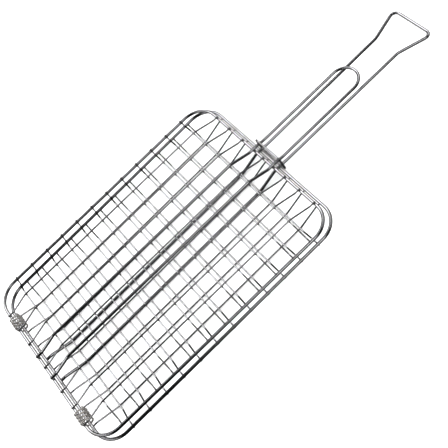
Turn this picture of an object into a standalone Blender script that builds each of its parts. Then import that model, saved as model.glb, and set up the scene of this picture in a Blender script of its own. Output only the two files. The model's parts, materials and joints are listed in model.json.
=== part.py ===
"""Hinged wire grill basket: two shallow trays of welded wire, hinged by coils at one end
and locked at the other by a ring that slides along the handles.

Frame: +X from the hinge to the handles, +Z up, origin under the middle of the whole object,
on the surface it stands on. Dimensions below are in millimetres; the scene is in metres.

A tray is described in its own frame: X from its hinge-end rim, Y across, and Z outward,
away from the food. The upper tray hangs on the hinge axis; the lower one lies upside down.
"""
import math

import bmesh
import bpy
from mathutils import Vector

MM = 0.001

# Wire stock
RIM_D = 4.2
HANDLE_D = 4.0
MESH_D = 2.0
COIL_D = 2.2
RING_D = 3.0
WELD_GAP = 0.3
SIDES = 8
COIL_SIDES = 6

# Trays
TRAY_WIDTH = 300.0
LOWER_LENGTH = 414.0
UPPER_LENGTH = 410.8
RIM_SIDE = 3.2
CORNER_R = 33.0
CORNER_STEPS = 6
CROSS_COUNT = 12
CROSS_PITCH = 30.0
LOWER_FIRST_CROSS = 42.7
UPPER_FIRST_CROSS = 39.8
CROSS_DEPTH = 11.2
CROSS_TAB_HALF = 138.5
CROSS_FACE_HALF = 119.0
LONG_FIRST_Y = 47.8
LONG_PITCH = 30.9
WIRE_OVERHANG = 2.0
LONG_TAB = 7.5
BEND_BEFORE_CROSS = 2.0

# Handles, as offsets from the tray's handle-end rim
HANDLE_HALF = 21.35
HANDLE_TAB = 8.0
HANDLE_TAB_PAST_RIM = 3.0
HANDLE_LEVEL_FROM_RIM = 20.0
SHORT_LEVEL = 2.6
SHORT_REACH = 175.0
SHORT_ARC_STEPS = 14
LONG_LEVEL_START = 5.4
LONG_LEVEL_KINK = 7.8
LONG_LEVEL_BAR = 11.0
LONG_STRAIGHT = 227.0
LONG_END_HALF = 22.3
LOOP_REACH = 276.7
LOOP_HALF = 38.0
LOOP_R = 8.0
LOOP_STEPS = 4

# Hinge: rim centres one above the other at the coils, closer at the handles
RIM_GAP_HINGE = 11.1
RIM_GAP_HANDLE = 4.5
HINGE_SHIFT = -2.8
COIL_Y = 95.2
COIL_TURNS = 4
COIL_PITCH = 5.6
COIL_STEPS = 20
COIL_HALF_WIDTH = 6.6
COIL_CORNER_R = 4.5
COIL_RIM_CLEARANCE = 0.8
COIL_RISE_CLEARANCE = 1.4

# Lock ring
RING_FROM_RIM = 5.4
RING_HALF_WIDTH = 26.3
RING_HALF_HEIGHT = 12.8
RING_R = 4.0
RING_STEPS = 4

# Levels that follow from the wire sizes
MESH_AT_RIM = RIM_D / 2 + WELD_GAP + MESH_D / 2
HANDLE_AT_RIM = RIM_D / 2 + WELD_GAP + HANDLE_D / 2
LONG_DEPTH = CROSS_DEPTH + MESH_D + WELD_GAP
HANDLE_DEPTH = CROSS_DEPTH + MESH_D / 2 + WELD_GAP + HANDLE_D / 2
RIM_Z = HANDLE_DEPTH + HANDLE_D / 2
TILT = math.asin((RIM_GAP_HINGE - RIM_GAP_HANDLE) / UPPER_LENGTH)
COIL_CENTRE_FROM_RIM = COIL_HALF_WIDTH - RIM_D / 2 - COIL_RIM_CLEARANCE - COIL_D / 2
OUTER_HINGE_X = HINGE_SHIFT + COIL_CENTRE_FROM_RIM - COIL_HALF_WIDTH - COIL_D / 2
OUTER_HANDLE_X = LOWER_LENGTH + LOOP_REACH + HANDLE_D / 2
RIM_X = -(OUTER_HINGE_X + OUTER_HANDLE_X) / 2


def clear_scene():
    for obj in list(bpy.data.objects):
        bpy.data.objects.remove(obj, do_unlink=True)


def make_material(name, colour, roughness):
    material = bpy.data.materials.new(name)
    material.use_nodes = True
    shader = material.node_tree.nodes["Principled BSDF"]
    shader.inputs["Base Color"].default_value = (*colour, 1.0)
    shader.inputs["Metallic"].default_value = 1.0
    shader.inputs["Roughness"].default_value = roughness
    return material


def make_empty(name, location=(0, 0, 0), rotation=(0, 0, 0)):
    empty = bpy.data.objects.new(name, None)
    empty.location = Vector(location) * MM
    empty.rotation_euler = rotation
    bpy.context.collection.objects.link(empty)
    return empty


def arc_points(centre, radius, start, end, steps, plane):
    """Points on an arc; plane maps (a, b) in the arc's plane to a point in space."""
    points = []
    for step in range(steps + 1):
        angle = start + (end - start) * step / steps
        points.append(plane(centre[0] + radius * math.cos(angle), centre[1] + radius * math.sin(angle)))
    return points


def rounded_rectangle(half_a, half_b, radius, steps, plane):
    """A closed rounded rectangle, anticlockwise in its plane."""
    corners = [(half_a, half_b), (-half_a, half_b), (-half_a, -half_b), (half_a, -half_b)]
    points = []
    for number, (a, b) in enumerate(corners):
        centre = (a - math.copysign(radius, a), b - math.copysign(radius, b))
        start = number * math.pi / 2
        points += arc_points(centre, radius, start, start + math.pi / 2, steps, plane)
    return points


def wire_mesh(name, points, diameter, up, closed=False, sides=SIDES):
    """A wire of even section swept along points, with mitred bends and a flat facing up and down."""
    path = [Vector(point) for point in points]
    count = len(path)
    apothem = diameter / 2
    radius = apothem / math.cos(math.pi / sides)
    mesh = bmesh.new()
    rings = []
    for index, point in enumerate(path):
        ahead = path[(index + 1) % count] - point if closed or index < count - 1 else None
        behind = point - path[index - 1] if closed or index > 0 else None
        along = (ahead or behind).normalized()
        mitre = along if ahead is None or behind is None else (along + behind.normalized()).normalized()
        top = (Vector(up) - Vector(up).project(along)).normalized()
        side = along.cross(top)
        ring = []
        for corner in range(sides):
            angle = 2 * math.pi * (corner + 0.5) / sides
            offset = (top * math.cos(angle) + side * math.sin(angle)) * radius
            offset -= along * (offset.dot(mitre) / along.dot(mitre))
            ring.append(mesh.verts.new((point + offset) * MM))
        rings.append(ring)
    for index in range(count if closed else count - 1):
        here, there = rings[index], rings[(index + 1) % count]
        for corner in range(sides):
            after = (corner + 1) % sides
            mesh.faces.new((here[corner], here[after], there[after], there[corner]))
    if not closed:
        mesh.faces.new(reversed(rings[0]))
        mesh.faces.new(rings[-1])
    bmesh.ops.recalc_face_normals(mesh, faces=mesh.faces)
    data = bpy.data.meshes.new(name)
    mesh.to_mesh(data)
    mesh.free()
    data.shade_smooth()
    data.set_sharp_from_angle(angle=math.radians(50))
    return data


def place(name, data, material, parent=None, location=(0, 0, 0)):
    obj = bpy.data.objects.new(name, data)
    obj.location = Vector(location) * MM
    obj.parent = parent
    if not data.materials:
        data.materials.append(material)
    bpy.context.collection.objects.link(obj)
    return obj


def rim_path(length):
    centre = length / 2
    return rounded_rectangle(centre, TRAY_WIDTH / 2, CORNER_R, CORNER_STEPS,
                             lambda a, b: (a + centre, b + RIM_SIDE, 0))


def cross_path():
    """From rim to rim across the tray: tab over the rim, slope, flat face, slope, tab."""
    reach = TRAY_WIDTH / 2 + WIRE_OVERHANG
    half = [(CROSS_TAB_HALF, MESH_AT_RIM), (CROSS_FACE_HALF, CROSS_DEPTH)]
    inner = [(0, -y, z) for y, z in half] + [(0, y, z) for y, z in reversed(half)]
    return [(0, RIM_SIDE - reach, MESH_AT_RIM)] + inner + [(0, RIM_SIDE + reach, MESH_AT_RIM)]


def long_path(length, first_cross):
    """From the hinge-end rim to the handle-end rim, bent just outside the end cross wires."""
    face_start = first_cross - BEND_BEFORE_CROSS
    face_end = first_cross + CROSS_PITCH * (CROSS_COUNT - 1) + BEND_BEFORE_CROSS
    return [(-WIRE_OVERHANG, 0, MESH_AT_RIM),
            (LONG_TAB, 0, MESH_AT_RIM),
            (face_start, 0, LONG_DEPTH),
            (face_end, 0, LONG_DEPTH),
            (length - LONG_TAB, 0, MESH_AT_RIM),
            (length + WIRE_OVERHANG, 0, MESH_AT_RIM)]


def handle_leg(length, first_cross, level):
    """One leg of a handle wire, from the hinge-end rim to where it runs straight past the other rim."""
    face_start = first_cross - BEND_BEFORE_CROSS
    face_end = first_cross + CROSS_PITCH * (CROSS_COUNT - 1) + BEND_BEFORE_CROSS
    return [(-WIRE_OVERHANG, HANDLE_HALF, HANDLE_AT_RIM),
            (HANDLE_TAB, HANDLE_HALF, HANDLE_AT_RIM),
            (face_start, HANDLE_HALF, HANDLE_DEPTH),
            (face_end, HANDLE_HALF, HANDLE_DEPTH),
            (length - HANDLE_TAB, HANDLE_HALF, HANDLE_AT_RIM),
            (length + HANDLE_TAB_PAST_RIM, HANDLE_HALF, HANDLE_AT_RIM),
            (length + HANDLE_LEVEL_FROM_RIM, HANDLE_HALF, level)]


def mirrored(leg):
    return [(x, -y, z) for x, y, z in reversed(leg)]


def short_handle_path():
    leg = handle_leg(UPPER_LENGTH, UPPER_FIRST_CROSS, SHORT_LEVEL)
    centre = (UPPER_LENGTH + SHORT_REACH - HANDLE_HALF, 0)
    bow = arc_points(centre, HANDLE_HALF, math.pi / 2, -math.pi / 2, SHORT_ARC_STEPS,
                     lambda a, b: (a, b, SHORT_LEVEL))
    return leg + bow + mirrored(leg)


def long_handle_path():
    """Straight legs, then a kink into a flared loop that droops a little and ends in a bar."""
    leg = handle_leg(LOWER_LENGTH, LOWER_FIRST_CROSS, LONG_LEVEL_START)
    kink_x = LOWER_LENGTH + LONG_STRAIGHT
    bar_x = LOWER_LENGTH + LOOP_REACH

    def droop(x, y):
        along = max(0.0, x - kink_x) / (bar_x - kink_x)
        return (x, y, LONG_LEVEL_KINK + (LONG_LEVEL_BAR - LONG_LEVEL_KINK) * along)

    flare = math.atan2(LOOP_HALF - LONG_END_HALF, bar_x - kink_x)
    tangent = LOOP_R * math.tan((math.pi / 2 - flare) / 2)
    centre = (bar_x - LOOP_R, LOOP_HALF - tangent)
    corner = arc_points(centre, LOOP_R, math.pi / 2 + flare, 0, LOOP_STEPS, droop)
    half = leg + [droop(kink_x, LONG_END_HALF)] + corner
    return half + mirrored(half)


def coil_path():
    """Turns of a rounded rectangle round both rims, wound along Y."""
    half_height = (RIM_GAP_HINGE + RIM_D) / 2 + COIL_RISE_CLEARANCE + COIL_D / 2
    turn = rounded_rectangle(COIL_HALF_WIDTH, half_height, COIL_CORNER_R, COIL_STEPS // 4,
                             lambda a, b: Vector((a, 0, b)))
    points = []
    count = len(turn)
    start_y = -COIL_PITCH * COIL_TURNS / 2
    for step in range(COIL_TURNS * count + 1):
        points.append(turn[step % count] + Vector((0, start_y + COIL_PITCH * step / count, 0)))
    return points


def ring_path():
    return rounded_rectangle(RING_HALF_WIDTH, RING_HALF_HEIGHT, RING_R, RING_STEPS,
                             lambda a, b: (0, a, b))


def long_wire_rows():
    """Y of the thin lengthwise wires, from one side of the tray to the other."""
    side = [LONG_FIRST_Y + LONG_PITCH * step for step in (2, 1, 0)]
    return side + [0.0] + [-y for y in reversed(side)]


def build_tray(prefix, parent, length, first_cross, side_sign, material):
    """Rim, cross wires and lengthwise wires of one tray, under its empty."""
    up = (0, 0, 1)
    place(f"{prefix}_rim", wire_mesh(f"{prefix}_rim", rim_path(length), RIM_D, up, closed=True),
          material, parent)
    cross = wire_mesh(f"{prefix}_cross_wire", cross_path(), MESH_D, up)
    for number in range(CROSS_COUNT):
        place(f"{prefix}_cross_wire_{number + 1:02d}", cross, material, parent,
              (first_cross + CROSS_PITCH * number, 0, 0))
    lengthwise = wire_mesh(f"{prefix}_long_wire", long_path(length, first_cross), MESH_D, up)
    for number, y in enumerate(long_wire_rows()):
        place(f"{prefix}_long_wire_{number + 1}", lengthwise, material, parent, (0, side_sign * y, 0))


def build():
    clear_scene()
    chrome = make_material("chrome_wire", (0.80, 0.80, 0.82), 0.12)
    coil_chrome = make_material("hinge_coil_chrome", (0.72, 0.69, 0.66), 0.2)
    ring_chrome = make_material("lock_ring_chrome", (0.76, 0.76, 0.78), 0.14)
    up = (0, 0, 1)

    lower = make_empty("lower_tray_axis", (RIM_X, 0, RIM_Z), (math.pi, 0, 0))
    hinge_z = RIM_Z + RIM_GAP_HINGE
    upper = make_empty("hinge_axis", (RIM_X + HINGE_SHIFT, 0, hinge_z), (0, TILT, 0))
    build_tray("bottom", lower, LOWER_LENGTH, LOWER_FIRST_CROSS, -1, chrome)
    build_tray("top", upper, UPPER_LENGTH, UPPER_FIRST_CROSS, 1, chrome)
    place("long_handle_wire", wire_mesh("long_handle_wire", long_handle_path(), HANDLE_D, up),
          chrome, lower)
    place("short_handle_wire", wire_mesh("short_handle_wire", short_handle_path(), HANDLE_D, up),
          chrome, upper)

    coil = wire_mesh("hinge_coil", coil_path(), COIL_D, (0, 1, 0), sides=COIL_SIDES)
    coil_x = RIM_X + HINGE_SHIFT + COIL_CENTRE_FROM_RIM
    coil_z = RIM_Z + RIM_GAP_HINGE / 2
    for name, side in (("left", 1), ("right", -1)):
        place(f"hinge_coil_{name}", coil, coil_chrome, None, (coil_x, side * COIL_Y, coil_z))

    ring_x = LOWER_LENGTH + RING_FROM_RIM
    lower_wire_z = RIM_Z - HANDLE_AT_RIM
    upper_wire_z = hinge_z - ring_x * math.sin(TILT) + SHORT_LEVEL
    place("lock_ring", wire_mesh("lock_ring", ring_path(), RING_D, (1, 0, 0), closed=True),
          ring_chrome, None, (RIM_X + ring_x, 0, (lower_wire_z + upper_wire_z) / 2))


build()
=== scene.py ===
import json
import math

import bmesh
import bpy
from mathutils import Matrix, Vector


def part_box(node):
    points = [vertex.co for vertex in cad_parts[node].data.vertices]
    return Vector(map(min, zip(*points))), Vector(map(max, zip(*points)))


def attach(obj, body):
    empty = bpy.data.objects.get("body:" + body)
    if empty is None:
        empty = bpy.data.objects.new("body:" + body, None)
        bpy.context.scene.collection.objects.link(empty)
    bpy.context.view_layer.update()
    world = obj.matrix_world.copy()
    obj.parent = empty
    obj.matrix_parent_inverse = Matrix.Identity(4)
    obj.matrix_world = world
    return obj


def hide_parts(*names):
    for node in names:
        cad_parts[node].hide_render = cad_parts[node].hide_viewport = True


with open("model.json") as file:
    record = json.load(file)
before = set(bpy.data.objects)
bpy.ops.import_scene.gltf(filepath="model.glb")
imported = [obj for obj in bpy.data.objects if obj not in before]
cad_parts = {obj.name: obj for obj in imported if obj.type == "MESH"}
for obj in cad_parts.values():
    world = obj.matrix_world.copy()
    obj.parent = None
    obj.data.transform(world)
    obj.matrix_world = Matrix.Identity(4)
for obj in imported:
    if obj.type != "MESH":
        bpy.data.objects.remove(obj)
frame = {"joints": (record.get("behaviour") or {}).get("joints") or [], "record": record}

# Looks of the hinged wire grill basket. Every CAD wire is replaced, one for one, by a round
# chromed wire with real bends, cut ends and weld nuggets.
#
# A tray is described in its own frame, as in the CAD: X from its hinge-end rim, Y across,
# Z outward from the food. Sizes are in millimetres, and the scene is in metres.

MM = 0.001

# Wire stock and how finely it is drawn
RIM_D = 4.2
HANDLE_D = 4.0
MESH_D = 2.0
COIL_D = 2.2
RING_D = 3.0
WELD_GAP = 0.3
SIDES = 16
BEND_STEP = math.radians(9)
SAME_POINT = 1e-4
# A cut end, as (radii in from the tip, share of the full width)
CUT_END = ((0.0, 0.62), (0.16, 0.86), (0.5, 1.0))

# Trays
TRAY_WIDTH = 300.0
LOWER_LENGTH = 414.0
UPPER_LENGTH = 410.8
RIM_SIDE = 3.2
RIM_CORNER_R = 33.0
CROSS_COUNT = 12
CROSS_PITCH = 30.0
LOWER_FIRST_CROSS = 42.7
UPPER_FIRST_CROSS = 39.8
CROSS_DEPTH = 11.2
CROSS_TAB_HALF = 138.5
CROSS_FACE_HALF = 119.0
LONG_ROWS = (-109.6, -78.7, -47.8, 0.0, 47.8, 78.7, 109.6)
WIRE_OVERHANG = 2.0
CROSS_OVERHANG = 1.2
LONG_TAB = 7.5
BEND_BEFORE_CROSS = 2.0
MESH_BEND_R = 6.0

# Handles, as offsets from the tray's handle-end rim
HANDLE_HALF = 21.35
HANDLE_TAB = 8.0
HANDLE_TAB_PAST_RIM = 3.0
HANDLE_LEVEL_FROM_RIM = 20.0
HANDLE_BEND_R = 14.0
SHORT_LEVEL = 2.6
SHORT_REACH = 175.0
LONG_LEVEL_START = 5.4
LONG_LEVEL_KINK = 7.8
LONG_LEVEL_BAR = 11.0
LONG_STRAIGHT = 227.0
LONG_END_HALF = 22.3
LOOP_REACH = 276.7
LOOP_HALF = 38.0
LOOP_R = 8.0
KINK_R = 16.0

# Hinge coils and lock ring
RIM_GAP_HINGE = 11.1
RIM_GAP_HANDLE = 4.5
COIL_TURNS = 4
COIL_PITCH = 5.6
COIL_HALF_WIDTH = 6.6
COIL_CORNER_R = 4.5
COIL_RISE_CLEARANCE = 1.4
RING_HALF_WIDTH = 26.3
RING_HALF_HEIGHT = 12.8
RING_R = 4.0

# Levels that follow from the wire sizes
MESH_AT_RIM = RIM_D / 2 + WELD_GAP + MESH_D / 2
HANDLE_AT_RIM = RIM_D / 2 + WELD_GAP + HANDLE_D / 2
LONG_DEPTH = CROSS_DEPTH + MESH_D + WELD_GAP
HANDLE_DEPTH = CROSS_DEPTH + MESH_D / 2 + WELD_GAP + HANDLE_D / 2
WELD_LEVEL = CROSS_DEPTH + MESH_D / 2 + WELD_GAP / 2
RIM_WELD_LEVEL = RIM_D / 2 + WELD_GAP / 2
TILT = math.asin((RIM_GAP_HINGE - RIM_GAP_HANDLE) / UPPER_LENGTH)

# Weld nuggets: half sizes across, along the cross wire or rim, and through the joint
NUGGET_MESH = (1.25, 1.25, 0.85)
NUGGET_HANDLE = (1.25, 1.9, 0.95)
NUGGET_RIM = (1.5, 1.25, 0.75)
NUGGET_HANDLE_RIM = (1.7, 2.0, 0.8)

record = frame["record"]
BODY_OF = {node: body for body, nodes in record["behaviour"]["bodies"].items() for node in nodes}
SLOT_OF = {part["node"]: part["material_slot"] for part in record["subparts"]}
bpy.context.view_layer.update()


def box_centre(node):
    low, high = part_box(node)
    return (low + high) / 2 / MM


def tray_frames():
    """Where each tray's own frame sits in the scene, in millimetres."""
    rim_low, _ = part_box("bottom_rim")
    lower = Matrix.Translation((rim_low.x / MM + RIM_D / 2, 0, box_centre("bottom_rim").z))
    hinge = next(joint for joint in frame["joints"] if joint["name"] == "tray_hinge")
    upper = Matrix.Translation(Vector(hinge["pos_m"]) / MM)
    return lower @ Matrix.Rotation(math.pi, 4, "X"), upper @ Matrix.Rotation(TILT, 4, "Y")


LOWER, UPPER = tray_frames()


# ---------------------------------------------------------------- wires

def rounded(corners, closed=False):
    """The centreline through (point, bend radius) corners, each rounded to its radius."""
    points = []
    count = len(corners)
    for index, (corner, radius) in enumerate(corners):
        here = Vector(corner)
        if not radius or (not closed and index in (0, count - 1)):
            points.append(here)
            continue
        back = Vector(corners[index - 1][0]) - here
        ahead = Vector(corners[(index + 1) % count][0]) - here
        turn = math.pi - back.angle(ahead)
        reach = min(radius * math.tan(turn / 2), 0.5 * back.length, 0.5 * ahead.length)
        radius = reach / math.tan(turn / 2)
        inward = (back.normalized() + ahead.normalized()).normalized()
        middle = here + inward * radius / math.cos(turn / 2)
        start = here + back.normalized() * reach - middle
        end = here + ahead.normalized() * reach - middle
        steps = max(2, math.ceil(turn / BEND_STEP))
        for step in range(steps + 1):
            share = step / steps
            points.append(middle + (start * math.sin((1 - share) * turn)
                                    + end * math.sin(share * turn)) / math.sin(turn))
    path = [points[0]]
    for point in points[1:]:
        if (point - path[-1]).length > SAME_POINT:
            path.append(point)
    if closed and (path[0] - path[-1]).length < SAME_POINT:
        path.pop()
    return path


def cut_ends(path, radius):
    """The path as (point, width) rings that round off both ends, as on a cut and tumbled wire."""
    first = (path[1] - path[0]).normalized()
    last = (path[-2] - path[-1]).normalized()
    head = [(path[0] + first * radius * along, width) for along, width in CUT_END]
    tail = [(path[-1] + last * radius * along, width) for along, width in reversed(CUT_END)]
    return head + [(point, 1.0) for point in path[1:-1]] + tail


def sweep(mesh, path, diameter, up, closed=False):
    """Adds a round wire along path, with U round it and V along it, both in metres."""
    uv_layer = mesh.loops.layers.uv.verify()
    radius = diameter / 2
    rings_at = [(point, 1.0) for point in path] if closed else cut_ends(path, radius)
    count = len(rings_at)
    rings, travel = [], [0.0]
    for index, (point, width) in enumerate(rings_at):
        ahead = rings_at[(index + 1) % count][0] - point if closed or index < count - 1 else None
        behind = point - rings_at[index - 1][0] if closed or index > 0 else None
        along = (ahead or behind).normalized()
        mitre = along if ahead is None or behind is None else (along + behind.normalized()).normalized()
        top = (Vector(up) - Vector(up).project(mitre)).normalized()
        side = mitre.cross(top)
        ring = []
        for corner in range(SIDES):
            angle = 2 * math.pi * corner / SIDES
            offset = (top * math.cos(angle) + side * math.sin(angle)) * radius * width
            ring.append(mesh.verts.new((point + offset) * MM))
        rings.append(ring)
        travel.append(travel[-1] + (ahead.length if ahead else 0.0))
    around = 2 * math.pi * radius / SIDES
    for index in range(count if closed else count - 1):
        here, there = rings[index], rings[(index + 1) % count]
        for corner in range(SIDES):
            after = (corner + 1) % SIDES
            face = mesh.faces.new((here[corner], here[after], there[after], there[corner]))
            face.smooth = True
            places = ((corner, index), (corner + 1, index), (corner + 1, index + 1), (corner, index + 1))
            for loop, (turn, row) in zip(face.loops, places):
                loop[uv_layer].uv = (turn * around * MM, travel[row] * MM)
    if not closed:
        mesh.faces.new(reversed(rings[0]))
        mesh.faces.new(rings[-1])


def nugget(mesh, centre, half_sizes):
    """A smooth swelling where two wires are welded."""
    swelling = Matrix.Diagonal((*(Vector(half_sizes) * MM), 1))
    place = Matrix.Translation(Vector(centre) * MM) @ swelling
    made = bmesh.ops.create_icosphere(mesh, subdivisions=2, radius=1, matrix=place, calc_uvs=True)
    for vert in made["verts"]:
        for face in vert.link_faces:
            face.smooth = True


def finish_piece(node, mesh, place, material):
    """Makes the piece that replaces a CAD node, on that node's body and material slot."""
    bmesh.ops.recalc_face_normals(mesh, faces=mesh.faces)
    move = place.copy()
    move.translation = move.translation * MM
    mesh.transform(move)
    data = bpy.data.meshes.new(f"{node}_look")
    mesh.to_mesh(data)
    mesh.free()
    data.materials.append(material)
    piece = bpy.data.objects.new(f"{node}_look", data)
    bpy.context.scene.collection.objects.link(piece)
    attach(piece, BODY_OF[node])
    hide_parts(node)


# ---------------------------------------------------------------- centrelines

def rectangle(x0, x1, y0, y1, radius, plane):
    """A closed rectangle with round corners; plane(a, b) gives the point in space."""
    return rounded([(plane(x1, y1), radius), (plane(x0, y1), radius),
                    (plane(x0, y0), radius), (plane(x1, y0), radius)], closed=True)


def rim_path(length):
    half = TRAY_WIDTH / 2
    return rectangle(0, length, RIM_SIDE - half, RIM_SIDE + half, RIM_CORNER_R,
                     lambda a, b: (a, b, 0))


def cross_path():
    reach = TRAY_WIDTH / 2 + CROSS_OVERHANG
    return rounded([((0, RIM_SIDE - reach, MESH_AT_RIM), 0),
                    ((0, -CROSS_TAB_HALF, MESH_AT_RIM), MESH_BEND_R),
                    ((0, -CROSS_FACE_HALF, CROSS_DEPTH), MESH_BEND_R),
                    ((0, CROSS_FACE_HALF, CROSS_DEPTH), MESH_BEND_R),
                    ((0, CROSS_TAB_HALF, MESH_AT_RIM), MESH_BEND_R),
                    ((0, RIM_SIDE + reach, MESH_AT_RIM), 0)])


def face_ends(first_cross):
    """Where the lengthwise wires bend into and out of the flat face."""
    return (first_cross - BEND_BEFORE_CROSS,
            first_cross + CROSS_PITCH * (CROSS_COUNT - 1) + BEND_BEFORE_CROSS)


def long_path(length, first_cross):
    start, end = face_ends(first_cross)
    return rounded([((-WIRE_OVERHANG, 0, MESH_AT_RIM), 0),
                    ((LONG_TAB, 0, MESH_AT_RIM), MESH_BEND_R),
                    ((start, 0, LONG_DEPTH), MESH_BEND_R),
                    ((end, 0, LONG_DEPTH), MESH_BEND_R),
                    ((length - LONG_TAB, 0, MESH_AT_RIM), MESH_BEND_R),
                    ((length + WIRE_OVERHANG, 0, MESH_AT_RIM), 0)])


def handle_path(length, first_cross, level, outer_corners):
    """Both legs of a handle wire, joined by outer_corners of its half at positive Y."""
    start, end = face_ends(first_cross)
    leg = [((-WIRE_OVERHANG, HANDLE_HALF, HANDLE_AT_RIM), 0),
           ((HANDLE_TAB, HANDLE_HALF, HANDLE_AT_RIM), HANDLE_BEND_R),
           ((start, HANDLE_HALF, HANDLE_DEPTH), HANDLE_BEND_R),
           ((end, HANDLE_HALF, HANDLE_DEPTH), HANDLE_BEND_R),
           ((length - HANDLE_TAB, HANDLE_HALF, HANDLE_AT_RIM), HANDLE_BEND_R),
           ((length + HANDLE_TAB_PAST_RIM, HANDLE_HALF, HANDLE_AT_RIM), HANDLE_BEND_R),
           ((length + HANDLE_LEVEL_FROM_RIM, HANDLE_HALF, level), HANDLE_BEND_R)]
    half = leg + outer_corners
    other = [((x, -y, z), radius) for (x, y, z), radius in reversed(half)]
    return rounded(half + other)


def short_handle_path():
    end = UPPER_LENGTH + SHORT_REACH
    return handle_path(UPPER_LENGTH, UPPER_FIRST_CROSS, SHORT_LEVEL,
                       [((end, HANDLE_HALF, SHORT_LEVEL), HANDLE_HALF)])


def long_handle_path():
    return handle_path(LOWER_LENGTH, LOWER_FIRST_CROSS, LONG_LEVEL_START,
                       [((LOWER_LENGTH + LONG_STRAIGHT, LONG_END_HALF, LONG_LEVEL_KINK), KINK_R),
                        ((LOWER_LENGTH + LOOP_REACH, LOOP_HALF, LONG_LEVEL_BAR), LOOP_R)])


def coil_path():
    """Turns of a rounded rectangle round both rims, wound along Y."""
    half_height = (RIM_GAP_HINGE + RIM_D) / 2 + COIL_RISE_CLEARANCE + COIL_D / 2
    turn = rectangle(-COIL_HALF_WIDTH, COIL_HALF_WIDTH, -half_height, half_height, COIL_CORNER_R,
                     lambda a, b: (a, 0, b))
    lengths = [(turn[(i + 1) % len(turn)] - turn[i]).length for i in range(len(turn))]
    pitch_per_length = COIL_PITCH / sum(lengths)
    points, y = [], -COIL_PITCH * COIL_TURNS / 2
    for step in range(COIL_TURNS * len(turn) + 1):
        points.append(turn[step % len(turn)] + Vector((0, y, 0)))
        y += lengths[step % len(turn)] * pitch_per_length
    return points


def lock_ring_path():
    return rectangle(-RING_HALF_WIDTH, RING_HALF_WIDTH, -RING_HALF_HEIGHT, RING_HALF_HEIGHT,
                     RING_R, lambda a, b: (0, a, b))


# ---------------------------------------------------------------- materials

# Noise that wears the chrome, as (repeats per metre, detail)
DRAWING_LINES = (1.0, 3.0)
PATCHES = (45.0, 4.0)
PITS = (1400.0, 2.0)
WAVES = (160.0, 1.0)
# The drawing lines are drawn out: repeats per metre round the wire and along it
LINE_STRETCH = (5000.0, 40.0, 1.0)
# Between which noise values each effect comes in
DULL_SPAN = (0.35, 0.7)
WORN_SPAN = (0.45, 0.75)
PIT_SPAN = (0.62, 0.72)
PIT_ROUGHNESS = 0.12
WAVE_HEIGHT = 4.0
BUMP_STRENGTH = 0.35
BUMP_DEPTH = 0.02 * MM


def chrome(name, colour, worn_colour, roughness, metal=1.0):
    """Bright plating on drawn wire: drawing lines along it, waviness, pits and dull patches."""
    material = bpy.data.materials.new(name)
    material.use_nodes = True
    tree = material.node_tree
    shader = tree.nodes["Principled BSDF"]
    shader.inputs["Metallic"].default_value = metal

    def node(kind, **inputs):
        made = tree.nodes.new(kind)
        for key, value in inputs.items():
            made.inputs[key.replace("_", " ")].default_value = value
        return made

    def noise(vector, scale_and_detail):
        scale, detail = scale_and_detail
        made = node("ShaderNodeTexNoise", Scale=scale, Detail=detail)
        tree.links.new(vector, made.inputs["Vector"])
        return made.outputs["Fac"]

    def remap(value, span, low, high):
        made = node("ShaderNodeMapRange", From_Min=span[0], From_Max=span[1], To_Min=low, To_Max=high)
        tree.links.new(value, made.inputs["Value"])
        return made.outputs["Result"]

    place = tree.nodes.new("ShaderNodeTexCoord")
    stretch = node("ShaderNodeMapping", Scale=LINE_STRETCH)
    tree.links.new(place.outputs["UV"], stretch.inputs["Vector"])
    lines = noise(stretch.outputs["Vector"], DRAWING_LINES)
    patches = noise(place.outputs["Object"], PATCHES)
    pits = noise(place.outputs["Object"], PITS)
    waves = noise(place.outputs["Object"], WAVES)

    total = tree.nodes.new("ShaderNodeMath")
    tree.links.new(remap(patches, DULL_SPAN, *roughness), total.inputs[0])
    tree.links.new(remap(pits, PIT_SPAN, 0.0, PIT_ROUGHNESS), total.inputs[1])
    tree.links.new(total.outputs["Value"], shader.inputs["Roughness"])

    tint = node("ShaderNodeMix")
    tint.data_type = "RGBA"
    tint.inputs["A"].default_value = (*colour, 1)
    tint.inputs["B"].default_value = (*worn_colour, 1)
    tree.links.new(remap(patches, WORN_SPAN, 0.0, 1.0), tint.inputs["Factor"])
    tree.links.new(tint.outputs["Result"], shader.inputs["Base Color"])

    height = tree.nodes.new("ShaderNodeMath")
    height.operation = "MULTIPLY_ADD"
    tree.links.new(waves, height.inputs[0])
    height.inputs[1].default_value = WAVE_HEIGHT
    tree.links.new(lines, height.inputs[2])
    bump = node("ShaderNodeBump", Strength=BUMP_STRENGTH, Distance=BUMP_DEPTH)
    tree.links.new(height.outputs["Value"], bump.inputs["Height"])
    tree.links.new(bump.outputs["Normal"], shader.inputs["Normal"])
    return material


MATERIALS = {
    "chrome_wire": chrome("chrome_wire", (0.80, 0.80, 0.82), (0.70, 0.69, 0.68), (0.06, 0.17)),
    "hinge_coil_chrome": chrome("hinge_coil_chrome", (0.94, 0.92, 0.90), (0.84, 0.80, 0.76),
                                (0.08, 0.16), metal=0.8),
    "lock_ring_chrome": chrome("lock_ring_chrome", (0.76, 0.76, 0.78), (0.66, 0.65, 0.64),
                               (0.08, 0.2)),
}


# ---------------------------------------------------------------- build

def wire_piece(node, path, diameter, place, up=(0, 0, 1), closed=False, welds=()):
    """One wire with its weld nuggets, in the look of its node's material slot."""
    mesh = bmesh.new()
    sweep(mesh, path, diameter, up, closed)
    for centre, half_sizes in welds:
        nugget(mesh, centre, half_sizes)
    finish_piece(node, mesh, place, MATERIALS[SLOT_OF[node]])


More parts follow.
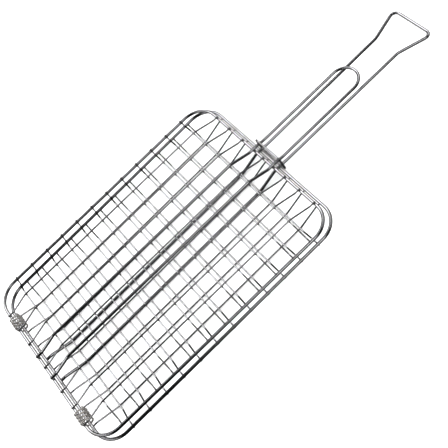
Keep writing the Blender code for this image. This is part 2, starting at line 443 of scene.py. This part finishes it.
def build_tray(prefix, length, first_cross, place):
    """Rim, cross wires and lengthwise wires of one tray."""
    wire_piece(f"{prefix}_rim", rim_path(length), RIM_D, place, closed=True)

    cross_welds = [((0, y, WELD_LEVEL), NUGGET_MESH) for y in LONG_ROWS]
    for side in (-1, 1):
        cross_welds.append(((0, side * HANDLE_HALF, WELD_LEVEL), NUGGET_HANDLE))
        cross_welds.append(((0, RIM_SIDE + side * TRAY_WIDTH / 2, RIM_WELD_LEVEL), NUGGET_RIM))
    for number in range(CROSS_COUNT):
        at = Matrix.Translation((first_cross + CROSS_PITCH * number, 0, 0))
        wire_piece(f"{prefix}_cross_wire_{number + 1:02d}", cross_path(), MESH_D, place @ at,
                   welds=cross_welds)

    rim_welds = [((x, 0, RIM_WELD_LEVEL), NUGGET_RIM) for x in (0, length)]
    for number in range(len(LONG_ROWS)):
        node = f"{prefix}_long_wire_{number + 1}"
        row = place.inverted() @ box_centre(node)
        wire_piece(node, long_path(length, first_cross), MESH_D,
                   place @ Matrix.Translation((0, row.y, 0)), welds=rim_welds)


def build_handle(node, path, length, place):
    """A handle wire, welded to both end rims of its tray."""
    welds = [((x, side * HANDLE_HALF, RIM_WELD_LEVEL), NUGGET_HANDLE_RIM)
             for x in (0, length) for side in (-1, 1)]
    wire_piece(node, path, HANDLE_D, place, welds=welds)


def build_coil(node):
    wire_piece(node, coil_path(), COIL_D, Matrix.Translation(box_centre(node)), up=(0, 1, 0))


def build_lock_ring():
    wire_piece("lock_ring", lock_ring_path(), RING_D, Matrix.Translation(box_centre("lock_ring")),
               up=(1, 0, 0), closed=True)


build_tray("bottom", LOWER_LENGTH, LOWER_FIRST_CROSS, LOWER)
build_tray("top", UPPER_LENGTH, UPPER_FIRST_CROSS, UPPER)
build_handle("long_handle_wire", long_handle_path(), LOWER_LENGTH, LOWER)
build_handle("short_handle_wire", short_handle_path(), UPPER_LENGTH, UPPER)
build_coil("hinge_coil_left")
build_coil("hinge_coil_right")
build_lock_ring()


# ---------------------------------------------------------------- studio

# Places and sizes in metres
FLOOR_SIZE = 9.0
FLOOR_COLOUR = (0.92, 0.92, 0.92)
FLOOR_ROUGHNESS = 0.9
FLOOR_LIGHT = 1.9
CHROME_LIGHT = 1.35
PRINT_GAMMA = 0.65
# What the chrome reflects, as (X, Y or Z of the reflected direction, brightness). Along and ends
# follow X, side and beyond follow Y, and height follows Z.
REFLECTED_HEIGHT = ((-1.0, 0.34), (-0.15, 0.18), (0.0, 0.02), (0.36, 0.03), (0.48, 1.0),
                    (0.90, 1.0), (0.965, 0.06), (1.0, 0.04))
REFLECTED_ALONG = ((-1.0, 0.01), (-0.17, 0.02), (-0.08, 0.2), (0.0, 0.7), (0.14, 1.0),
                   (0.21, 0.9), (0.28, 0.25), (0.46, 0.08), (1.0, 0.08))
REFLECTED_ENDS = ((-1.0, 0.8), (-0.66, 0.8), (-0.56, 0.0), (0.60, 0.0), (0.72, 0.8), (1.0, 0.8))
REFLECTED_SIDE = ((-1.0, 0.25), (-0.90, 0.3), (-0.82, 1.0), (-0.25, 1.0), (-0.12, 0.2),
                  (1.0, 0.15))
REFLECTED_BEYOND = ((-1.0, 0.0), (0.38, 0.0), (0.46, 1.0), (0.69, 1.0), (0.77, 0.0), (1.0, 0.0))
CAMERA_AT = Vector((-0.0564, -0.7163, 0.9864))
CAMERA_AIM = Vector((-0.0359, -0.0164, 0.0))
CAMERA_ROLL = math.radians(-43.1)
CAMERA_LENS = 70.565
CAMERA_NEAR = 0.01


def floor_material():
    material = bpy.data.materials.new("floor")
    material.use_nodes = True
    shader = material.node_tree.nodes["Principled BSDF"]
    shader.inputs["Base Color"].default_value = (*FLOOR_COLOUR, 1)
    shader.inputs["Roughness"].default_value = FLOOR_ROUGHNESS
    shader.inputs["Specular IOR Level"].default_value = 0.0
    return material


def build_floor():
    """A plain pale square under the object, which the chrome doesn't reflect."""
    half = FLOOR_SIZE / 2
    data = bpy.data.meshes.new("floor")
    data.from_pydata([(-half, -half, 0), (half, -half, 0), (half, half, 0), (-half, half, 0)],
                     [], [(0, 1, 2, 3)])
    data.materials.append(floor_material())
    floor = bpy.data.objects.new("floor", data)
    floor.visible_glossy = False
    bpy.context.scene.collection.objects.link(floor)


def studio_world():
    """Even white light on the floor; the chrome sees a dark horizon and a few soft lights."""
    world = bpy.data.worlds.new("studio")
    world.use_nodes = True
    tree = world.node_tree

    def link(start, end):
        tree.links.new(start, end)

    def levels(value, steps):
        """A brightness that follows a direction's part, -1 to 1, through (part, level) steps."""
        place = tree.nodes.new("ShaderNodeMapRange")
        place.inputs["From Min"].default_value = -1
        place.inputs["From Max"].default_value = 1
        link(value, place.inputs["Value"])
        ramp = tree.nodes.new("ShaderNodeValToRGB")
        link(place.outputs["Result"], ramp.inputs["Fac"])
        while len(ramp.color_ramp.elements) < len(steps):
            ramp.color_ramp.elements.new(0.5)
        for element, (part, level) in zip(ramp.color_ramp.elements, steps):
            element.position = (part + 1) / 2
            element.color = (level, level, level, 1)
        return ramp.outputs["Color"]

    def combine(operation, first, second):
        made = tree.nodes.new("ShaderNodeMath")
        made.operation = operation
        link(first, made.inputs[0])
        link(second, made.inputs[1])
        return made.outputs["Value"]

    even = tree.nodes["Background"]
    even.inputs["Color"].default_value = (1, 1, 1, 1)
    even.inputs["Strength"].default_value = FLOOR_LIGHT

    direction = tree.nodes.new("ShaderNodeTexCoord")
    split = tree.nodes.new("ShaderNodeSeparateXYZ")
    link(direction.outputs["Generated"], split.inputs[0])
    along = levels(split.outputs["X"], REFLECTED_ALONG)
    ends = levels(split.outputs["X"], REFLECTED_ENDS)
    side = levels(split.outputs["Y"], REFLECTED_SIDE)
    beyond = levels(split.outputs["Y"], REFLECTED_BEYOND)
    height = levels(split.outputs["Z"], REFLECTED_HEIGHT)
    near_lights = combine("MAXIMUM", combine("MULTIPLY", along, side), beyond)
    lights = combine("MAXIMUM", near_lights, ends)
    reflected = tree.nodes.new("ShaderNodeBackground")
    reflected.inputs["Strength"].default_value = CHROME_LIGHT
    link(combine("MULTIPLY", lights, height), reflected.inputs["Color"])

    ray = tree.nodes.new("ShaderNodeLightPath")
    mix = tree.nodes.new("ShaderNodeMixShader")
    link(ray.outputs["Is Glossy Ray"], mix.inputs["Fac"])
    link(even.outputs["Background"], mix.inputs[1])
    link(reflected.outputs["Background"], mix.inputs[2])
    link(mix.outputs["Shader"], tree.nodes["World Output"].inputs["Surface"])
    return world


def build_camera():
    camera = bpy.data.objects.new("camera", bpy.data.cameras.new("camera"))
    camera.data.lens = CAMERA_LENS
    camera.data.clip_start = CAMERA_NEAR
    camera.location = CAMERA_AT
    camera.rotation_mode = "QUATERNION"
    camera.rotation_quaternion = ((CAMERA_AIM - CAMERA_AT).to_track_quat("-Z", "Y")
                                  @ Matrix.Rotation(CAMERA_ROLL, 3, "Z").to_quaternion())
    bpy.context.scene.collection.objects.link(camera)
    bpy.context.scene.camera = camera


build_floor()
build_camera()
bpy.context.scene.world = studio_world()
bpy.context.scene.view_settings.view_transform = "Standard"
bpy.context.scene.view_settings.gamma = PRINT_GAMMA
